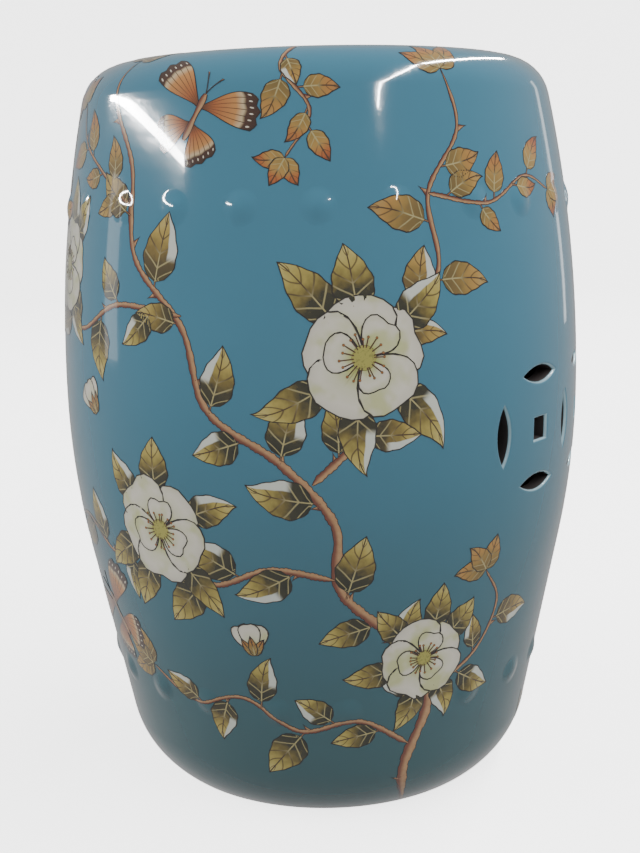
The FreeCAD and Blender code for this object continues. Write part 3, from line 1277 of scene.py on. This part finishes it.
# %% The routes of one side
TRUNK = [(50, 3), (47, 40), (52, 88), (43, 130), (31, 165), (30, 205), (20, 240),
         (6, 268), (1, 312), (-11, 350), (-13, 398), (-21, 436), (-19, 462)]
LEFT_BOUGH = [(30, 172), (17, 178), (4, 166), (-9, 180), (-24, 172), (-36, 188), (-50, 180)]
RIGHT_BOUGH = [(26, 228), (36, 258), (40, 300), (51, 338), (50, 380), (58, 414), (56, 446)]
LOW_BOUGH = [(48, 58), (35, 78), (21, 72), (8, 92), (-6, 84), (-19, 100)]
CREST = [(1, 318), (-16, 322), (-30, 306), (-44, 322), (-58, 314)]
HANGING = [(24, 470), (21, 448), (27, 424), (22, 400)]
FAR_BOUGH = [(-78, 3), (-74, 42), (-64, 76), (-66, 112), (-55, 140)]
CROWN = [(-62, 478), (-58, 446), (-48, 420), (-52, 384), (-42, 360)]
SIDE_SPRAY = [(50, 380), (64, 374), (76, 388), (86, 380)]
LEFT_PLUME = [(-12, 376), (-24, 396), (-34, 414), (-38, 436)]
ROOT_SHOOT = [(51, 92), (64, 112), (69, 142), (64, 166)]
print("the trunk runs from %d to %d mm up the outline" % (TRUNK[0][1], TRUNK[-1][1]))

# %% [markdown]
# A twig is its route, its thickness at the root and at the tip, the number of its thorns
# and of its leaves, the leaves' length and their age, from 0 for old to 1 for young.
# The rest is written as a place, in degrees from the side's middle and millimetres up
# the outline, then a size in millimetres and a turn in radians.

# %% The design of one side
TWIGS = [(TRUNK, 7.0, 3.0, 11, 11, 34, 0.05), (LEFT_BOUGH, 4.4, 2.2, 5, 7, 32, 0.0),
         (RIGHT_BOUGH, 4.8, 2.2, 6, 8, 28, 0.45), (LOW_BOUGH, 4.0, 2.0, 4, 6, 31, 0.05),
         (CREST, 3.8, 2.0, 4, 6, 30, 0.15), (HANGING, 2.8, 1.6, 1, 5, 21, 0.9),
         (FAR_BOUGH, 4.6, 2.4, 4, 6, 33, 0.05), (CROWN, 3.0, 1.6, 2, 7, 22, 0.9),
         (SIDE_SPRAY, 2.8, 1.6, 1, 5, 22, 0.95), (LEFT_PLUME, 3.0, 1.6, 2, 5, 23, 0.8),
         (ROOT_SHOOT, 3.6, 1.8, 2, 4, 28, 0.2)]
BLOSSOMS = [(36, 296, 36, 0.3), (-7, 196, 33, 0.9), (-40, 342, 29, 0.1), (50, 116, 27, 0.6)]
BUDS = [(12, 122, 22, 1.7), (-24, 258, 22, 2.2)]
BUTTERFLIES = [(3, 424, 58, 1.1), (-32, 126, 66, 2.2)]
LEAF_TURNS = (0.6, 1.5, 2.4, 3.6, 4.4, 5.4)
print(len(TWIGS), "twigs,", len(BLOSSOMS), "blossoms,", len(BUTTERFLIES), "butterflies a side")

# %% [markdown]
# The twigs come first, and the blossoms are laid over them with a ring of leaves, which
# hides where a twig ends. Then the same side is composed once more, half a turn on. The
# chance that varies the leaves starts from a fixed seed, so each run gives this design.

# %% Compose both sides


def place_on_side(centre, degrees, distance, size, turn):
    return (centre + math.radians(degrees), distance * MM), size * MM, turn


def lay_leaf_ring(middle, radius):
    """Leaves round a blossom, on two layers in turn, as neighbours overlap."""
    for index, leaf_turn in enumerate(LEAF_TURNS):
        about = leaf_turn + chance.uniform(-0.2, 0.2)
        foot = from_root(middle, about, 0.70 * radius, 0.0)
        lay_leaf(leaf_sheet, foot, about, radius * chance.uniform(0.95, 1.2),
                 radius * chance.uniform(0.58, 0.70), 2.0 + 0.5 * (index % 2))


def compose_side(centre):
    for twig in TWIGS:
        grow(centre, *twig)
    for blossom in BLOSSOMS:
        middle, radius, turn = place_on_side(centre, *blossom)
        lay_leaf_ring(middle, radius)
        lay_blossom(middle, radius, turn)
    for bud in BUDS:
        root, length, turn = place_on_side(centre, *bud)
        lay_bud(root, turn, length)
    for butterfly in BUTTERFLIES:
        lay_butterfly(*place_on_side(centre, *butterfly))


for centre in (-math.pi / 2, math.pi / 2):
    compose_side(centre)
sheets = (branch_sheet, leaf_sheet, petal_sheet, stamen_sheet, wing_sheet)
print("faces laid", sum(len(sheet.faces) for sheet in sheets))

# %% [markdown]
# The ceramic colours are opaque, with a dark line round every shape, and they lie under
# the same gloss as the glaze. Their paints are drawn from the patches' own numbers, so
# that a vein or an outline keeps its width on a big leaf and on a small one. An old leaf
# is nearly black at its stalk and gold at its tip, and a young one is gold and then rust.

# %% The ink and the leaves' colour
INK = (0.012, 0.008, 0.007)
OLD_LEAF = [(0.0, (0.010, 0.012, 0.006)), (0.30, (0.030, 0.027, 0.012)),
            (0.44, (0.125, 0.092, 0.020)), (0.70, (0.34, 0.27, 0.060)),
            (1.0, (0.46, 0.39, 0.14))]
YOUNG_LEAF = [(0.0, (0.22, 0.15, 0.040)), (0.45, (0.33, 0.19, 0.045)),
              (0.70, (0.34, 0.10, 0.024)), (1.0, (0.17, 0.028, 0.012))]
DARK_VEIN = (0.050, 0.026, 0.012)
PALE_VEIN = (0.34, 0.29, 0.13)
FOLDED_LEAF = (0.50, 0.52, 0.46)
SIDE_VEINS = 5.0
VEIN_SLANT = -1.1


def outline_ink(recipe, body, width, share=1.0, ink=INK):
    """Draws a dark line along a patch's edge, a width in millimetres."""
    line = recipe.step(recipe.number("edge"), 1.25 * width, 0.65 * width)
    return recipe.blend(recipe.times(line, share), body, ink)


def leaf_veins(recipe, along, across):
    """A rib down the middle, and side veins that slant forward from it."""
    slant = recipe.times(recipe.calc("ABSOLUTE", across), VEIN_SLANT)
    rows = recipe.calc("ADD", recipe.times(along, SIDE_VEINS), slant)
    veins = recipe.step(recipe.zigzag(rows), 0.10, 0.04)
    rib = recipe.step(recipe.number("rib"), 0.48, 0.26)
    return recipe.calc("MAXIMUM", recipe.times(veins, 0.8), rib)


def make_leaf_paint():
    recipe = Recipe("leaf_colour", GLOSS, coat=1.0)
    along = recipe.number("along")
    across = recipe.number("across")
    cloud = recipe.times(recipe.noise(5 * MM), 0.34)
    shade = recipe.calc("SUBTRACT", recipe.calc("ADD", along, cloud), 0.17)
    body = recipe.blend(recipe.number("age"), recipe.ramp(shade, OLD_LEAF),
                        recipe.ramp(shade, YOUNG_LEAF))
    line = recipe.blend(recipe.step(along, 0.55, 0.32), DARK_VEIN, PALE_VEIN)
    body = recipe.blend(leaf_veins(recipe, along, across), body, line)
    fold = recipe.step(recipe.times(across, recipe.number("fold")), 0.40, 0.48)
    fold = recipe.times(fold, recipe.step(along, 0.30, 0.42))
    body = recipe.blend(fold, body, FOLDED_LEAF)
    return recipe.done(outline_ink(recipe, body, 0.70))


leaf_paint = make_leaf_paint()

# %% [markdown]
# The petals are white with a breath of yellow green near the claw and in a few soft
# clouds. Fine strokes run out from the claw, as an engraver would cut them. On the
# stamens' sheet the age tells the parts apart: 0 is the disc, 0.5 a dot and 1 a stroke.

# %% The blossoms' colours
PETAL = [(0.0, (0.17, 0.18, 0.030)), (0.30, (0.35, 0.37, 0.11)), (0.56, (0.50, 0.49, 0.35)),
         (0.80, (0.56, 0.53, 0.45)), (1.0, (0.49, 0.46, 0.38))]
GREEN_TINT = (0.38, 0.40, 0.14)
FINE_STROKE = (0.17, 0.12, 0.04)
STROKES = 3.4
DISC_DOT_STAMEN = [(0.0, (0.30, 0.28, 0.06)), (0.5, (0.26, 0.10, 0.03)),
                   (1.0, (0.13, 0.030, 0.016))]
DARK_SPOT = (0.10, 0.08, 0.02)


def make_petal_paint():
    recipe = Recipe("petal_colour", GLOSS, coat=1.0)
    along = recipe.number("along")
    tint = recipe.times(recipe.step(recipe.noise(16 * MM), 0.47, 0.70), 0.7)
    body = recipe.blend(tint, recipe.ramp(along, PETAL), GREEN_TINT)
    rows = recipe.zigzag(recipe.times(recipe.number("across"), STROKES))
    strokes = recipe.times(recipe.step(rows, 0.10, 0.02), recipe.step(along, 0.60, 0.30))
    body = recipe.blend(recipe.times(strokes, 0.5), body, FINE_STROKE)
    return recipe.done(outline_ink(recipe, body, 0.78))


def make_stamen_paint():
    recipe = Recipe("stamen_colour", GLOSS, coat=1.0)
    spots = recipe.times(recipe.step(recipe.noise(1.6 * MM, 1.0), 0.55, 0.62), 0.4)
    body = recipe.ramp(recipe.number("age"), DISC_DOT_STAMEN)
    body = recipe.blend(spots, body, DARK_SPOT)
    return recipe.done(outline_ink(recipe, body, 0.28, 0.8))


petal_paint = make_petal_paint()
stamen_paint = make_stamen_paint()

# %% [markdown]
# Bark is tan with a red-brown shaded side, so that a flat ribbon looks round. The wings
# go from brown at the body to orange, then a pale band, and a dark border with a row of
# light spots. Both take their stripes from the same across and along numbers.

# %% The colours of bark and wings
BARK = (0.29, 0.145, 0.060)
PALER_BARK = (0.42, 0.26, 0.13)
SHADED_BARK = (0.135, 0.038, 0.022)
BARK_INK = (0.024, 0.010, 0.008)
WING = [(0.0, (0.07, 0.025, 0.010)), (0.25, (0.28, 0.085, 0.024)),
        (0.62, (0.42, 0.19, 0.055)), (0.74, (0.46, 0.36, 0.21)),
        (0.80, (0.055, 0.022, 0.010)), (1.0, (0.032, 0.014, 0.008))]
WING_VEIN = (0.045, 0.017, 0.010)
WING_SPOT = (0.55, 0.52, 0.42)
WING_STRIPES = 3.0
SPOTS_AT = 0.88


def make_branch_paint():
    recipe = Recipe("bark_colour", GLOSS, coat=1.0)
    side = recipe.step(recipe.number("across"), -0.3, 0.6)
    bark = recipe.blend(recipe.noise(2.5 * MM, 3.0), BARK, PALER_BARK)
    bark = recipe.blend(side, bark, SHADED_BARK)
    return recipe.done(outline_ink(recipe, bark, 0.46, 0.95, BARK_INK))


def wing_spots(recipe, along, rows):
    """Round spots in the dark border, one between each two veins."""
    aside = recipe.times(recipe.calc("SUBTRACT", rows, 0.5), 0.3)
    ahead = recipe.calc("SUBTRACT", along, SPOTS_AT)
    away = recipe.calc("ADD", recipe.times(aside, aside), recipe.times(ahead, ahead))
    return recipe.step(away, 0.0016, 0.0009)


def make_wing_paint():
    recipe = Recipe("wing_colour", GLOSS, coat=1.0)
    along = recipe.number("along")
    rows = recipe.zigzag(recipe.times(recipe.number("across"), WING_STRIPES))
    body = recipe.blend(recipe.step(rows, 0.09, 0.03), recipe.ramp(along, WING), WING_VEIN)
    body = recipe.blend(wing_spots(recipe, along, rows), body, WING_SPOT)
    return recipe.done(outline_ink(recipe, body, 0.45))


branch_paint = make_branch_paint()
wing_paint = make_wing_paint()

# %% [markdown]
# Each kind of patch is one piece with one paint. The edge of every patch is marked
# sharp, so smooth shading stays on its face and doesn't roll over its thin side.

# %% Fire the five sheets
for name, sheet, paint in (("picture_branches", branch_sheet, branch_paint),
                           ("picture_leaves", leaf_sheet, leaf_paint),
                           ("picture_petals", petal_sheet, petal_paint),
                           ("picture_stamens", stamen_sheet, stamen_paint),
                           ("picture_wings", wing_sheet, wing_paint)):
    bmesh.ops.recalc_face_normals(sheet, faces=sheet.faces)
    make_piece(name, sheet, [paint])
bpy.data.meshes.remove(carrier)

# %% [markdown]
# The stool stands on pale paper that is swept up behind it. Gloss shows whatever lies
# round it, and a white floor would turn the whole glaze grey. So the paper is hidden
# from reflections and from bounced light, as it can be in Blender, and glows a little
# of its own. A dull grey table top, which neither the camera nor the gloss sees, throws
# soft light back up in its place, and the gloss sees only the even air and the lamps.

# %% The studio
PAPER_FLAT = 3.2
PAPER_SWEEP = 1.6
SWEEP_STEPS = 12
SWEEP_SIDES = 96
PAPER_WHITE = 0.86
PAPER_GLOW = 3.0
TABLE_GREY = 0.40
TABLE_SINK = 0.5 * MM
AIR_GLOW = 0.42
WHITE = (1, 1, 1, 1)


def put_on_stage(name, shape, grey, glow):
    paint = bpy.data.materials.new(name)
    paint.use_nodes = True
    shader = paint.node_tree.nodes["Principled BSDF"]
    shader.inputs["Base Color"].default_value = (grey, grey, grey, 1)
    shader.inputs["Roughness"].default_value = 0.9
    shader.inputs["Emission Color"].default_value = WHITE
    shader.inputs["Emission Strength"].default_value = glow
    thing = add_shape(name, shape, [paint])
    return thing


def make_paper():
    bowl = bmesh.new()
    profile = [(0.0, 0.0), (PAPER_FLAT, 0.0)]
    for step in range(1, SWEEP_STEPS + 1):
        tilt = math.pi / 2 * step / SWEEP_STEPS
        profile.append((PAPER_FLAT + PAPER_SWEEP * math.sin(tilt),
                        PAPER_SWEEP * (1 - math.cos(tilt))))
    spin_profile(bowl, profile, SWEEP_SIDES)
    bmesh.ops.remove_doubles(bowl, verts=bowl.verts, dist=0.1 * MM)
    for face in bowl.faces:
        face.normal_update()
        if face.normal.z < 0 or face.normal.dot(face.calc_center_median()) > 0.5:
            face.normal_flip()
    paper = put_on_stage("studio_paper", bowl, PAPER_WHITE, PAPER_GLOW)
    paper.visible_diffuse = False
    paper.visible_glossy = False
    paper.visible_shadow = False


def make_table():
    disc = bmesh.new()
    bmesh.ops.create_circle(disc, segments=SWEEP_SIDES, radius=PAPER_FLAT + PAPER_SWEEP,
                            cap_ends=True, matrix=Matrix.Translation((0, 0, -TABLE_SINK)))
    table = put_on_stage("studio_table", disc, TABLE_GREY, 0.0)
    table.visible_camera = False
    table.visible_glossy = False


make_paper()
make_table()
air = bpy.data.worlds.new("studio_air")
air.use_nodes = True
air.node_tree.nodes["Background"].inputs["Color"].default_value = WHITE
air.node_tree.nodes["Background"].inputs["Strength"].default_value = AIR_GLOW
bpy.context.scene.world = air
print("paper, table and air are ready")

# %% [markdown]
# The camera has the photograph's viewpoint: a little above the stool, turned so that
# one pierced motif shows near the right edge, and slightly out of level. Its focal
# length is written in pixels, as it comes out of measuring the picture's lines.

# %% The camera
CAMERA_TURN = math.radians(28.25)
CAMERA_AWAY = 784.37 * MM
CAMERA_ASIDE = -1.71 * MM
CAMERA_HEIGHT = 380.67 * MM
CAMERA_PITCH = math.radians(11.857)
CAMERA_ROLL = math.radians(-1.336)
FOCAL_PIXELS = 1200.0
LONG_SIDE_PIXELS = 853
SENSOR = 36.0

camera_data = bpy.data.cameras.new("camera")
camera_data.sensor_width = SENSOR
camera_data.lens = FOCAL_PIXELS * SENSOR / LONG_SIDE_PIXELS
camera_data.clip_start = 0.01
camera_data.clip_end = 50.0
camera = add_object("camera", camera_data)
out = Vector((math.sin(CAMERA_TURN), -math.cos(CAMERA_TURN), 0))
right = Vector((math.cos(CAMERA_TURN), math.sin(CAMERA_TURN), 0))
place = out * CAMERA_AWAY + right * CAMERA_ASIDE + Vector((0, 0, CAMERA_HEIGHT))
turned = Matrix.Rotation(CAMERA_TURN, 4, "Z")
pitched = Matrix.Rotation(math.pi / 2 - CAMERA_PITCH, 4, "X")
rolled = Matrix.Rotation(CAMERA_ROLL, 4, "Z")
camera.matrix_world = Matrix.Translation(place) @ turned @ pitched @ rolled
bpy.context.scene.camera = camera
print("camera %.2f m away" % place.length)

# %% [markdown]
# The lamps are long bare tubes under a shop's ceiling. On a glossy shoulder a straight
# tube shows as a thin bent line, so each tube is a strip light laid between two points.
# The points were found by following such lines back from the glaze to the ceiling. Two
# dim upright panels stand for doorways, which show as faint bands on the flanks. Places
# and widths are in metres, and the last number is how bright a lamp's face is.

# %% The lamps
TUBES = [("tube_right", (3.60, -2.30, 2.4), (1.20, 0.35, 2.4), 0.05, 200),
         ("tube_behind", (1.15, 0.50, 2.4), (0.00, 3.60, 2.4), 0.05, 200),
         ("tube_left", (-3.90, -0.20, 1.5), (-2.00, -3.10, 1.5), 0.08, 150),
         ("doorway_left", (-2.84, -0.98, 0.00), (-2.84, -0.98, 0.95), 0.46, 1.1),
         ("doorway_right", (1.02, 3.05, 0.00), (1.02, 3.05, 1.40), 0.20, 1.5)]


def hang_tube(name, start, end, width, radiance):
    """A strip light between two points, which shines towards the stool."""
    start = Vector(start)
    end = Vector(end)
    middle = (start + end) / 2
    along = (end - start).normalized()
    away = middle - Vector((0, 0, HEIGHT))
    away = (away - away.dot(along) * along).normalized()
    data = bpy.data.lights.new(name, "AREA")
    data.shape = "RECTANGLE"
    data.size = width
    data.size_y = (end - start).length
    data.energy = radiance * math.pi * data.size * data.size_y
    light = add_object(name, data)
    light.visible_camera = False
    across = along.cross(away)
    axes = Matrix((across, along, away)).transposed().to_4x4()
    light.matrix_world = Matrix.Translation(middle) @ axes
    print(name, "%.0f W" % data.energy)


for tube in TUBES:
    hang_tube(*tube)
